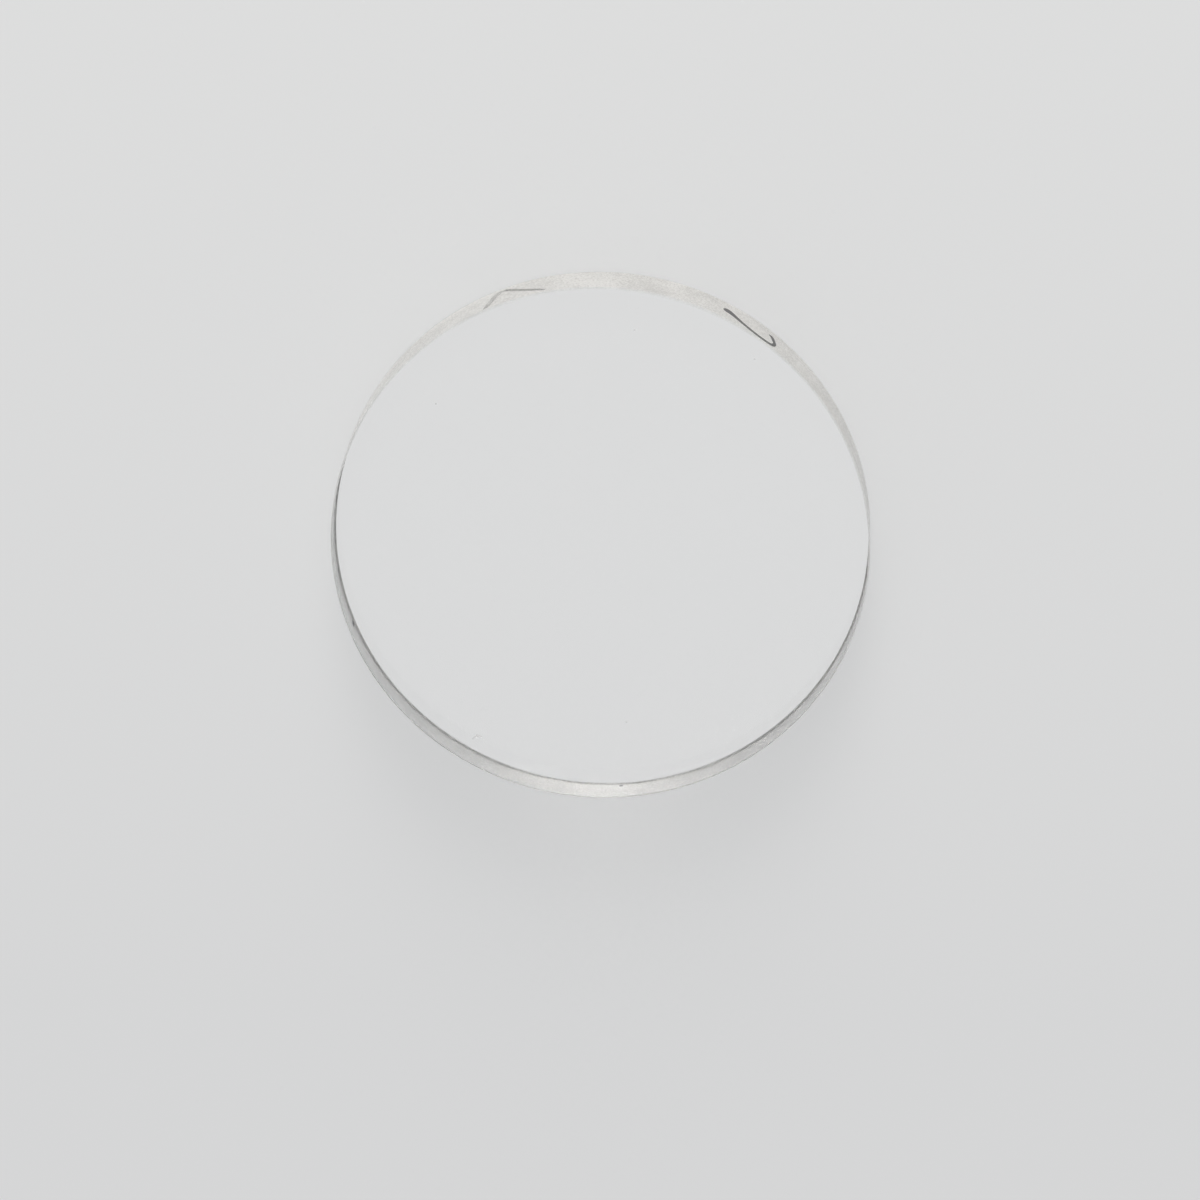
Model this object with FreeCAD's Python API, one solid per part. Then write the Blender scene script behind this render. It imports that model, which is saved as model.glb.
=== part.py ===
# Round optical window: one plane-parallel disc of clear glass, in millimetres.
# The disc lies on its back face. The origin is the centre of that face, and +Z is the optical
# axis, pointing out of the front face.

import FreeCAD, Part
import math
import os

# Driving dimensions
diameter = 50.8            # across the ground edge, nominally two inches
thickness = 5.4            # from polished face to polished face
chamfer_width = 0.15       # how far each protective chamfer cuts into its polished face
chamfer_angle = 45.0       # slope of the chamfers against the polished faces, in degrees

edge_radius = diameter / 2.0
face_radius = edge_radius - chamfer_width
chamfer_height = chamfer_width * math.tan(math.radians(chamfer_angle))


def section_points():
    """Half section of the disc, from the optical axis out to the edge and back to the axis."""
    return [
        (0.0, 0.0),
        (face_radius, 0.0),
        (edge_radius, chamfer_height),
        (edge_radius, thickness - chamfer_height),
        (face_radius, thickness),
        (0.0, thickness),
    ]


def window_disc():
    """The disc as it is generated on the edging machine: its half section turned about the axis."""
    corners = [FreeCAD.Vector(radius, 0.0, height) for radius, height in section_points()]
    outline = Part.makePolygon(corners + corners[:1])
    half_section = Part.Face(outline)
    axis_point = FreeCAD.Vector(0.0, 0.0, 0.0)
    optical_axis = FreeCAD.Vector(0.0, 0.0, 1.0)
    return half_section.revolve(axis_point, optical_axis, 360.0)


def stock_volume():
    """Volume worked out by hand: the edge cylinder between the chamfers and two chamfer frustums."""
    wall_height = thickness - 2.0 * chamfer_height
    cylinder = math.pi * edge_radius ** 2 * wall_height
    radii = edge_radius ** 2 + edge_radius * face_radius + face_radius ** 2
    frustum = math.pi * chamfer_height * radii / 3.0
    return cylinder + 2.0 * frustum


window = window_disc()
print("solids:", len(window.Solids), "valid:", window.isValid())
print("volume mm3: %.3f, by hand %.3f" % (window.Volume, stock_volume()))

os.makedirs("parts", exist_ok=True)
window.exportStep("parts/window.step")
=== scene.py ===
import math
import bpy
import numpy as np
from mathutils import Matrix, Vector


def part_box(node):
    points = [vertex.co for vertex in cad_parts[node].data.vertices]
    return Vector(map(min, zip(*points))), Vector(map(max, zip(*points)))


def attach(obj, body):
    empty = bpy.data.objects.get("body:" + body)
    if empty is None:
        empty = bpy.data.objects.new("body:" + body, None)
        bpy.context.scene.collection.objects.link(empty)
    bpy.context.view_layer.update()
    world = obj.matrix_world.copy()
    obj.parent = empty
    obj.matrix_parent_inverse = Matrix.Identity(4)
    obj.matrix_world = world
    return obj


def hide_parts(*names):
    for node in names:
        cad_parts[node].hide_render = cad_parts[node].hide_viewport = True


# A round optical window lying on its back face, seen from above at a slant.
# Everything is in metres; mm turns a size in millimetres into metres.
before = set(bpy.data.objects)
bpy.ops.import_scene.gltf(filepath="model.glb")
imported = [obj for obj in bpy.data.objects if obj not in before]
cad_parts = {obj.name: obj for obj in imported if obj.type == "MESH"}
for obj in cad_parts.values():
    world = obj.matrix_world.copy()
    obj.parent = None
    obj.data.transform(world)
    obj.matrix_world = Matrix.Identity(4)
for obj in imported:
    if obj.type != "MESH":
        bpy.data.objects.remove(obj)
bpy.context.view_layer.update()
mm = 0.001
print("frame loaded, nodes:", sorted(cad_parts))

boxLow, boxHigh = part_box("window")
edgeRadius = (boxHigh[0] - boxLow[0]) / 2
thickness = boxHigh[2] - boxLow[2]


class Wire:
    # One output of a shader node. Arithmetic on it adds Math nodes.
    def __init__(self, recipe, socket):
        self.recipe = recipe
        self.socket = socket

    def maths(self, operation, *values):
        inputs = dict(enumerate(values))
        return self.recipe.add("ShaderNodeMath", {"operation": operation}, inputs)

    def __add__(self, other): return self.maths("ADD", self, other)
    def __radd__(self, other): return self.maths("ADD", other, self)
    def __sub__(self, other): return self.maths("SUBTRACT", self, other)
    def __rsub__(self, other): return self.maths("SUBTRACT", other, self)
    def __mul__(self, other): return self.maths("MULTIPLY", self, other)
    def __rmul__(self, other): return self.maths("MULTIPLY", other, self)
    def __truediv__(self, other): return self.maths("DIVIDE", self, other)
    def __rtruediv__(self, other): return self.maths("DIVIDE", other, self)
    def __pow__(self, other): return self.maths("POWER", self, other)

    def larger(self, other): return self.maths("MAXIMUM", self, other)
    def smaller(self, other): return self.maths("MINIMUM", self, other)

    # 0 below start, 1 above end, a smooth step between them
    def fade(self, start, end):
        settings = {"interpolation_type": "SMOOTHSTEP"}
        inputs = {"Value": self, "From Min": start, "From Max": end}
        return self.recipe.add("ShaderNodeMapRange", settings, inputs)


class Recipe:
    # The nodes of one material or world. add() is the only way in.
    def __init__(self, tree):
        self.tree = tree
        tree.nodes.clear()

    def add(self, kind, settings=None, inputs=None, output=0):
        node = self.tree.nodes.new(kind)
        for name, value in (settings or {}).items():
            setattr(node, name, value)
        for name, value in (inputs or {}).items():
            if isinstance(value, Wire):
                self.tree.links.new(value.socket, node.inputs[name])
            else:
                node.inputs[name].default_value = value
        return Wire(self, node.outputs[output]) if len(node.outputs) else None

    def place(self):
        return self.add("ShaderNodeTexCoord", output="Object")

    def noise(self, size, detail=3.0, roughness=0.5, where=None):
        # clouds whose lumps are about size metres across, 0 to 1
        inputs = {"Vector": where or self.place(), "Scale": 1 / size, "Detail": detail,
                  "Roughness": roughness}
        return self.add("ShaderNodeTexNoise", None, inputs, "Fac")

    def blend(self, amount, first, second):
        # colour: first where amount is 0, second where it is 1
        return self.add("ShaderNodeMix", {"data_type": "RGBA"}, {0: amount, 6: first, 7: second}, 2)

    def bump(self, height, distance, strength=1.0):
        return self.add("ShaderNodeBump", None,
                        {"Height": height, "Distance": distance, "Strength": strength})

    def surface(self, shader):
        self.add("ShaderNodeOutputMaterial", None, {"Surface": shader})


def newMaterial(name):
    material = bpy.data.materials.new(name)
    material.use_nodes = True
    return material, Recipe(material.node_tree)


# Glass finishes

glassLook = {
    "index": 1.4585,            # fused silica
    "hazeSize": 6 * mm,
    "hazeRange": (0.45, 0.75),  # the haze grows from nought to full between these noise values
    "hazeRoughness": 0.002,
    "grain": 0.05 * mm,         # sizes of the grain and of the paler and darker places
    "speckle": 0.2 * mm,
    "streak": 0.7 * mm,
    "streakStretch": 8,         # how much longer round the edge than up it
    "mottle": 3.0 * mm,
    "mix": (0.55, 0.25, 0.2),   # shares of speckle, streak and mottle in the tone
    "toneRange": (0.4, 0.6),    # the tone goes from pale to grey between these values of the mix
    "grainRoughness": 0.1,      # how much the grain changes the roughness
    "speckleBump": 2,           # how much higher the speckle stands than the grain
    "bumpDepth": 0.02 * mm,
    "bumpStrength": 0.6,
    "dust": (0.55, 0.55, 0.53, 1),
    "dustShare": 0.38,
    "dustEdge": (0.3, 0.7),     # in widths from its middle line, where a thread starts to fade and ends
    "dustDepth": 0.02 * mm,     # dust shows only this close to the front face
}

# The three ground finishes: "clear" is the share of light that goes through the ground skin. The back
# chamfer's darker pale and grey are painted shade.
groundLooks = {
    "groundWall": {"pale": (1.0, 0.995, 0.965, 1), "grey": (0.68, 0.675, 0.65, 1),
                   "clear": 0.6, "roughness": 0.32, "shine": 0.5},
    "frontChamfer": {"pale": (0.90, 0.90, 0.885, 1), "grey": (0.74, 0.74, 0.725, 1),
                     "clear": 0.92, "roughness": 0.85, "shine": 0.25},
    # painted shade: the back chamfer's dark tones paint the dark line along the back rim
    "backChamfer": {"pale": (0.55, 0.55, 0.54, 1), "grey": (0.38, 0.38, 0.37, 1),
                    "clear": 0.7, "roughness": 0.5, "shine": 0.5},
}

# Dust on the front face: each thread runs from one point to the other, in mm, and is so many mm wide.
# A thread that ends where it starts is a speck.
dustThreads = [
    {"from": (12.16, 19.54), "to": (11.77, 19.17), "width": 0.10},
    {"from": (11.77, 19.17), "to": (11.30, 19.31), "width": 0.14},
    {"from": (15.27, -13.91), "to": (15.27, -13.91), "width": 0.11},
    {"from": (-14.31, -18.75), "to": (-14.38, -18.70), "width": 0.09},
    {"from": (-3.19, -21.37), "to": (-3.25, -21.37), "width": 0.09},
    {"from": (-2.51, 17.50), "to": (-2.58, 17.52), "width": 0.09},
]


def threadShare(recipe, x, y, thread):
    # 1 on the thread, 0 off it: how far the point lies from the nearest place on the segment
    startX, startY = (value * mm for value in thread["from"])
    stepX, stepY = (b * mm - a * mm for a, b in zip(thread["from"], thread["to"]))
    length = max(stepX ** 2 + stepY ** 2, 1e-12)
    t = (((x - startX) * stepX + (y - startY) * stepY) / length).larger(0.0).smaller(1.0)
    offX = x - startX - t * stepX
    offY = y - startY - t * stepY
    away = (offX * offX + offY * offY) ** 0.5
    start, end = glassLook["dustEdge"]
    return 1 - away.fade(start * thread["width"] * mm, end * thread["width"] * mm)


def polishedGlass():
    # clear glass; roughness is nought but for the faintest haze, and dust lies on the front face
    material, recipe = newMaterial("polishedGlass")
    haze = recipe.noise(glassLook["hazeSize"], 2.0).fade(*glassLook["hazeRange"])
    glass = recipe.add("ShaderNodeBsdfPrincipled", None, {
        "Base Color": (1, 1, 1, 1), "Roughness": haze * glassLook["hazeRoughness"],
        "IOR": glassLook["index"], "Transmission Weight": 1.0})
    place = recipe.place()
    x, y, z = (recipe.add("ShaderNodeSeparateXYZ", None, {0: place}, axis) for axis in "XYZ")
    share = 0
    for thread in dustThreads:
        share = threadShare(recipe, x, y, thread) + share
    onFront = z.fade(thickness - glassLook["dustDepth"], thickness - glassLook["dustDepth"] / 2)
    dust = recipe.add("ShaderNodeBsdfDiffuse", None, {"Color": glassLook["dust"]})
    recipe.surface(recipe.add("ShaderNodeMixShader", None,
                              {0: share.smaller(glassLook["dustShare"]) * onFront, 1: glass, 2: dust}))
    return material


def groundGlass(name):
    # Fine-ground glass. The bump is grain + speckle; the tone goes from pale to grey with
    # shares of speckle, of streaks round the edge and of a wide mottle.
    look = groundLooks[name]
    material, recipe = newMaterial(name)
    grain = recipe.noise(glassLook["grain"], 2.0, 0.6)
    speckle = recipe.noise(glassLook["speckle"], 2.0, 0.6)
    flat = recipe.add("ShaderNodeVectorMath", {"operation": "MULTIPLY"},
                      {0: recipe.place(), 1: (1, 1, glassLook["streakStretch"])})
    streak = recipe.noise(glassLook["streak"], 3.0, 0.6, flat)
    mottle = recipe.noise(glassLook["mottle"], 2.0, 0.5)
    ofSpeckle, ofStreak, ofMottle = glassLook["mix"]
    share = ofSpeckle * speckle + ofStreak * streak + ofMottle * mottle
    tone = recipe.blend(share.fade(*glassLook["toneRange"]), look["pale"], look["grey"])
    height = grain + glassLook["speckleBump"] * speckle
    shader = recipe.add("ShaderNodeBsdfPrincipled", None, {
        "Base Color": tone,
        "Roughness": look["roughness"] + glassLook["grainRoughness"] * (grain - 0.5),
        "IOR": glassLook["index"], "Specular IOR Level": look["shine"],
        "Transmission Weight": look["clear"],
        "Normal": recipe.bump(height, glassLook["bumpDepth"], glassLook["bumpStrength"])})
    recipe.surface(shader)
    return material


# The disc

discShape = {
    "chamfer": 0.15 * mm,       # leg of both 45 degree chamfers
    "around": 576,              # segments round the edge
    "faceRings": 6,
    "wallRings": 10,
}


def discProfile():
    # Radius and height of each ring from the back face's middle out, up the edge and back in,
    # with the finish of the strip that follows each ring: 0 polished, 1 wall, 2 front chamfer,
    # 3 back chamfer.
    chamfer = discShape["chamfer"]
    faceRadius = edgeRadius - chamfer
    inward = np.linspace(faceRadius, 0, discShape["faceRings"], endpoint=False)
    wall = np.linspace(chamfer, thickness - chamfer, discShape["wallRings"])
    radius = np.concatenate([inward[::-1], np.full(len(wall), edgeRadius), inward])
    height = np.concatenate([np.zeros(len(inward)), wall, np.full(len(inward), thickness)])
    finish = np.concatenate([np.zeros(len(inward) - 1), [3], np.ones(len(wall) - 1), [2],
                             np.zeros(len(inward) - 1)]).astype(int)
    return radius, height, finish


def ringFaces(rings, around):
    # quads between neighbouring rings, wound so that they face outwards
    low = np.arange(rings - 1)[:, None] * around
    here = np.arange(around)[None, :]
    after = (here + 1) % around
    quads = np.stack([low + here, low + after, low + around + after, low + around + here], axis=-1)
    return quads.reshape(-1, 4)


def makeDisc():
    # point(ring, turn) = (radius cos turn, radius sin turn, height), closed by a fan at each pole
    radius, height, finish = discProfile()
    around = discShape["around"]
    turn = np.linspace(0, 2 * np.pi, around, endpoint=False)
    x = radius[:, None] * np.cos(turn)
    y = radius[:, None] * np.sin(turn)
    z = np.broadcast_to(height[:, None], x.shape)
    points = np.stack([x, y, z], axis=-1).reshape(-1, 3)
    back = len(points)
    points = np.vstack([points, [[0, 0, 0], [0, 0, thickness]]])
    quads = ringFaces(len(radius), around)
    here = np.arange(around)
    after = (here + 1) % around
    last = (len(radius) - 1) * around
    backFan = np.stack([np.full(around, back), after, here], axis=-1)
    frontFan = np.stack([np.full(around, back + 1), last + here, last + after], axis=-1)
    mesh = bpy.data.meshes.new("windowGlass")
    mesh.from_pydata(points.tolist(), [], quads.tolist() + backFan.tolist() + frontFan.tolist())
    slots = np.concatenate([np.repeat(finish, around), np.zeros(2 * around, int)])
    mesh.polygons.foreach_set("material_index", slots.astype(np.int32))
    mesh.polygons.foreach_set("use_smooth", slots > 0)
    markSharp(mesh, slots)
    disc = bpy.data.objects.new("windowGlass", mesh)
    bpy.context.collection.objects.link(disc)
    mesh.materials.append(polishedGlass())
    for name in groundLooks:
        mesh.materials.append(groundGlass(name))
    return disc


def markSharp(mesh, slots):
    # an edge is sharp where its two faces have different finishes
    edgeOfLoop = np.zeros(len(mesh.loops), np.int32)
    mesh.loops.foreach_get("edge_index", edgeOfLoop)
    sides = np.zeros(len(mesh.polygons), np.int32)
    mesh.polygons.foreach_get("loop_total", sides)
    slotOfLoop = np.repeat(slots, sides)
    lowest = np.full(len(mesh.edges), 9)
    highest = np.full(len(mesh.edges), -1)
    np.minimum.at(lowest, edgeOfLoop, slotOfLoop)
    np.maximum.at(highest, edgeOfLoop, slotOfLoop)
    mesh.edges.foreach_set("use_edge_sharp", lowest != highest)


# Pencil marks on the ground wall, with a painted contact shadow and a dark spot drawn the same way

pencilLook = {
    "film": 0.006 * mm,         # how proud the graphite stands
    "darkest": (0.035, 0.035, 0.037, 1),
    "palest": (0.16, 0.16, 0.16, 1),
    "grain": 0.04 * mm,
    "hold": (0.62, 0.78),       # with no press the film grows from nought to full between these
    "pressed": 0.42,            # how far a full press lowers both
    "roughness": 0.45,
    "grainRoughness": 0.2,
    "metallic": 0.3,
    "steps": 24,                # rings from one point of a stroke to the next
    "around": 12,               # points round each ring
}

# Each stroke: points as (degrees round the edge, height in mm), the width in mm at each point,
# and how hard the pencil was pressed, 0 to 1. The last two are a painted contact shadow at the foot of
# the edge and a dark spot.
pencilStrokes = {
    "caretLong": {"points": [(281.67, 4.58), (283.83, 3.89), (286.36, 3.02), (288.97, 1.87),
                             (291.04, 0.95)],
                  "widths": (0.41, 0.51, 0.51, 0.51, 0.46), "press": 0.42},
    "caretShort": {"points": [(291.04, 0.95), (292.13, 1.24), (292.94, 2.06), (293.73, 3.18),
                              (294.44, 4.32), (294.9, 5.02)],
                   "widths": (0.5, 0.8, 0.74, 0.68, 0.6, 0.44), "press": 0.3},
    "hook": {"points": [(243.35, 2.45), (242.2, 2.62), (240.65, 3.14), (238.9, 3.78), (236.89, 4.29),
                        (234.84, 4.58), (233.01, 4.6), (231.69, 4.44), (230.9, 4.06), (230.5, 3.4),
                        (230.75, 2.76), (231.19, 2.04), (231.84, 1.61)],
             "widths": (1.25, 1.1, 0.76, 0.64, 0.62, 0.64, 0.66, 0.6, 0.44, 0.36, 0.44, 0.5, 0.5),
             "press": 1.0},
    # painted contact shadow at the foot of the back rim
    "paintedContactShadow": {"points": [(94.3, 0.35), (94.3, 0.9)], "widths": (0.4, 0.35), "press": 0.6},
    # a dark spot on the edge
    "darkSpotLeft": {"points": [(20.8, 0.4), (21.2, 1.5)], "widths": (0.45, 0.4), "press": 0.6},
}


def smoothPath(points):
    # Catmull-Rom curve through the points: each span is a cubic that leaves with half the
    # chord of its neighbours
    known = np.array(points, float)
    padded = np.vstack([2 * known[0] - known[1], known, 2 * known[-1] - known[-2]])
    t = np.linspace(0, 1, pencilLook["steps"], endpoint=False)[None, :, None]
    before, start, end, after = (padded[k:len(padded) - 3 + k, None, :] for k in range(4))
    curve = 0.5 * (2 * start + (end - before) * t + (2 * before - 5 * start + 4 * end - after) * t ** 2
                   + (3 * start - before - 3 * end + after) * t ** 3)
    return np.vstack([curve.reshape(-1, 2), known[-1:]])


def strokeMesh(name, stroke):
    # A flat oval carried along the path on the wall: the place on the path, plus sideways
    # cos(turn) times half the width along the wall, plus sin(turn) times the film off the wall.
    # Each end is round: the half width falls there as the root of 1 - (1 - distance / half)^2.
    path = smoothPath(stroke["points"])
    along = np.radians(path[:, 0]) * edgeRadius
    up = path[:, 1] * mm
    stepAlong, stepUp = np.gradient(along), np.gradient(up)
    length = np.hypot(stepAlong, stepUp)
    share = np.linspace(0, 1, len(path))
    half = np.interp(share, np.linspace(0, 1, len(stroke["widths"])), stroke["widths"]) * mm / 2
    fromEnd = np.minimum(length.cumsum(), length[::-1].cumsum()[::-1])
    ends = np.sqrt(1 - (1 - np.clip(fromEnd / half, 0.001, 1)) ** 2)
    half = half * ends
    turn = np.linspace(0, 2 * np.pi, pencilLook["around"], endpoint=False)
    side = np.cos(turn)[None, :] * half[:, None]
    proud = np.sin(turn)[None, :] * pencilLook["film"] * ends[:, None]
    onWall = (along[:, None] - side * (stepUp / length)[:, None]) / edgeRadius
    z = up[:, None] + side * (stepAlong / length)[:, None]
    radius = edgeRadius + proud
    points = np.stack([radius * np.cos(onWall), radius * np.sin(onWall), z], axis=-1).reshape(-1, 3)
    rings, around = side.shape
    quads = ringFaces(rings, around)[:, ::-1].tolist()
    caps = [list(range(around)), list(range((rings - 1) * around, rings * around))[::-1]]
    mesh = bpy.data.meshes.new(name)
    mesh.from_pydata(points.tolist(), [], quads + caps)
    mesh.shade_smooth()
    piece = bpy.data.objects.new(name, mesh)
    bpy.context.collection.objects.link(piece)
    mesh.materials.append(graphite(name + "Graphite", stroke["press"]))
    return piece


def graphite(name, press):
    # soft grey film with a slight metal sheen; a light press leaves it on the tips of the grain only
    material, recipe = newMaterial(name)
    grain = recipe.noise(pencilLook["grain"], 3.0, 0.6)
    hold = grain.fade(*(value - pencilLook["pressed"] * press for value in pencilLook["hold"]))
    tone = recipe.blend(grain, pencilLook["darkest"], pencilLook["palest"])
    shader = recipe.add("ShaderNodeBsdfPrincipled", None, {
        "Base Color": tone, "Roughness": pencilLook["roughness"] + pencilLook["grainRoughness"] * grain,
        "Metallic": pencilLook["metallic"], "Alpha": hold})
    recipe.surface(shader)
    return material


# The room: floor, world, camera

roomLook = {
    "gap": 0.03 * mm,           # the film of air under the glass
    "size": 6.0,                # of the square floor
    "paintedFalloffRun": 100 * mm,        # over this length along Y a painted fall-off of light takes the floor from bright to dim
    "rimFade": 0.2 * mm,        # over this width the floor's steady share changes at the glass's edge
    "glow": 0.72,               # share of the floor's tone that is steady, the rest takes shadow
    "glowUnder": 0.97,          # the same right under the glass, where the steady share paints out the shadow
    "paintedShadeUnder": 0.026,         # painted shade: how much darker the steady share is painted there
    "bright": (0.745, 0.75, 0.75, 1),
    "dim": (0.69, 0.695, 0.70, 1),
    "backdrop": (0.72, 0.725, 0.725, 1),
    "lampTint": (1, 0.975, 0.955, 1),
    "mirrored": 0.75,           # the brightest that gloss sees of a lamp
    "through": 1.0,             # the same for clear glass
    "free": 1000,               # added to that limit for all other light, which it sets free
}

# Soft patches of light in the room: height and bearing in degrees, how tight, and strength.
skyPatches = [
    {"height": 88, "bearing": 0, "tight": 2, "strength": 0.45},
    {"height": 42, "bearing": -90, "tight": 8, "strength": 0.65},
    {"height": 42, "bearing": 90, "tight": 8, "strength": 0.95},
    {"height": 8, "bearing": 30, "tight": 8, "strength": 1.15},
]
# The lamp over the near edge, which is a little warmer.
lampPatches = [
    {"height": 4, "bearing": -90, "tight": 40, "strength": 12.0},
    {"height": 18, "bearing": -90, "tight": 40, "strength": 18.5},
]


def makeFloor():
    half = roomLook["size"] / 2
    z = boxLow[2] - roomLook["gap"]
    mesh = bpy.data.meshes.new("floor")
    mesh.from_pydata([(-half, -half, z), (half, -half, z), (half, half, z), (-half, half, z)], [],
                     [(0, 1, 2, 3)])
    floor = bpy.data.objects.new("floor", mesh)
    bpy.context.collection.objects.link(floor)
    material, recipe = newMaterial("floorPaper")
    place = recipe.place()
    y = recipe.add("ShaderNodeSeparateXYZ", None, {0: place}, "Y")
    # painted fall-off of light: the floor's tone goes from bright to dim along Y
    along = (y / roomLook["paintedFalloffRun"] + 0.5).smaller(1.0).larger(0.0)
    tone = recipe.blend(along, roomLook["bright"], roomLook["dim"])
    fromMiddle = recipe.add("ShaderNodeVectorMath", {"operation": "LENGTH"}, {0: place}, "Value")
    under = 1 - fromMiddle.fade(edgeRadius - roomLook["rimFade"], edgeRadius)
    share = roomLook["glow"] + (roomLook["glowUnder"] - roomLook["glow"]) * under
    diffuse = recipe.add("ShaderNodeBsdfDiffuse", None, {"Color": tone})
    # painted shade: the steady tone is a little darker right under the glass
    toneWithPaintedShade = recipe.blend(under * roomLook["paintedShadeUnder"], tone, (0, 0, 0, 1))
    glow = recipe.add("ShaderNodeEmission", None, {"Color": toneWithPaintedShade})
    seen = None
    for ray in ("Is Camera Ray", "Is Transmission Ray", "Is Glossy Ray"):
        one = recipe.add("ShaderNodeLightPath", output=ray)
        seen = one if seen is None else seen.larger(one)
    recipe.surface(recipe.add("ShaderNodeMixShader", None, {0: seen * share, 1: diffuse, 2: glow}))
    mesh.materials.append(material)


def patchLight(recipe, patches):
    # sum over the patches of strength e^(tight (cosine of the angle to its middle - 1))
    towards = recipe.add("ShaderNodeTexCoord", output="Generated")
    light = 0.0
    for patch in patches:
        height, bearing = math.radians(patch["height"]), math.radians(patch["bearing"])
        middle = (math.cos(height) * math.cos(bearing), math.cos(height) * math.sin(bearing),
                  math.sin(height))
        near = recipe.add("ShaderNodeVectorMath", {"operation": "DOT_PRODUCT"},
                          {0: towards, 1: middle}, "Value")
        glow = recipe.add("ShaderNodeMath", {"operation": "EXPONENT"}, {0: patch["tight"] * (near - 1)})
        light = light + patch["strength"] * glow
    return light


def makeWorld():
    # Matt surfaces get the full light of the patches. Gloss and clear glass see them held down
    # to a plain level, and the camera sees a plain pale backdrop.
    world = bpy.data.worlds.new("softRoom")
    world.use_nodes = True
    bpy.context.scene.world = world
    recipe = Recipe(world.node_tree)
    sky, lamp = patchLight(recipe, skyPatches), patchLight(recipe, lampPatches)
    camera, glossy, clear, matt = (recipe.add("ShaderNodeLightPath", output=name) for name in (
        "Is Camera Ray", "Is Glossy Ray", "Is Transmission Ray", "Diffuse Depth"))
    limit = roomLook["mirrored"] + (roomLook["through"] - roomLook["mirrored"]) * clear
    held = glossy.larger(clear) * (1 - matt.smaller(1.0))
    strength = (sky + lamp).smaller(limit + roomLook["free"] * (1 - held))
    tone = recipe.blend(lamp / (sky + lamp), (1, 1, 1, 1), roomLook["lampTint"])
    light = recipe.add("ShaderNodeBackground", None, {"Color": tone, "Strength": strength})
    backdrop = recipe.add("ShaderNodeBackground", None, {"Color": roomLook["backdrop"]})
    seen = recipe.add("ShaderNodeMixShader", None, {0: camera, 1: light, 2: backdrop})
    recipe.add("ShaderNodeOutputWorld", None, {"Surface": seen})


cameraSetup = {
    "distance": 442.5 * mm,     # from the middle of the back face
    "slant": 19.07,             # degrees off the optical axis
    "bearing": 261.38,          # degrees round the axis, from +X
    "focalPixels": 4652.7,
    "imagePixels": 1200,
    "sensor": 36,               # millimetres, as is the lens
    "clipStart": 0.01,
    "middleAt": (602.6, 529.3),  # where the middle of the back face falls in the picture
}


def makeCamera():
    # The camera hangs above the near edge with its top towards that edge, and is aimed so that
    # the disc's middle falls where it does in the picture.
    slant = math.radians(cameraSetup["slant"])
    bearing = math.radians(cameraSetup["bearing"])
    towards = Vector((math.sin(slant) * math.cos(bearing), math.sin(slant) * math.sin(bearing),
                      math.cos(slant)))
    place = towards * cameraSetup["distance"]
    right = (-towards).cross(Vector((0, -1, 0))).normalized()
    up = right.cross(-towards)
    metresPerPixel = cameraSetup["distance"] / cameraSetup["focalPixels"]
    offRight = cameraSetup["middleAt"][0] - cameraSetup["imagePixels"] / 2
    offUp = cameraSetup["imagePixels"] / 2 - cameraSetup["middleAt"][1]
    aim = -(right * offRight + up * offUp) * metresPerPixel
    forward = (aim - place).normalized()
    right = forward.cross(Vector((0, -1, 0))).normalized()
    up = right.cross(forward)
    data = bpy.data.cameras.new("camera")
    data.sensor_width = cameraSetup["sensor"]
    data.lens = cameraSetup["sensor"] * cameraSetup["focalPixels"] / cameraSetup["imagePixels"]
    data.clip_start = cameraSetup["clipStart"]
    camera = bpy.data.objects.new("camera", data)
    camera.matrix_world = Matrix((
        (right.x, up.x, -forward.x, place.x),
        (right.y, up.y, -forward.y, place.y),
        (right.z, up.z, -forward.z, place.z),
        (0, 0, 0, 1)))
    bpy.context.collection.objects.link(camera)
    bpy.context.scene.camera = camera


makeCamera()
makeFloor()
makeWorld()
disc = makeDisc()
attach(disc, "root")
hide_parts("window")
for strokeName, stroke in pencilStrokes.items():
    mark = strokeMesh(strokeName, stroke)
    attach(mark, "root")
print("glass and pencil marks made")

scene = bpy.context.scene
scene.view_settings.view_transform = "Standard"
scene.cycles.sample_clamp_indirect = 0
scene.cycles.blur_glossy = 0    # light that has met the floor still goes through clear glass
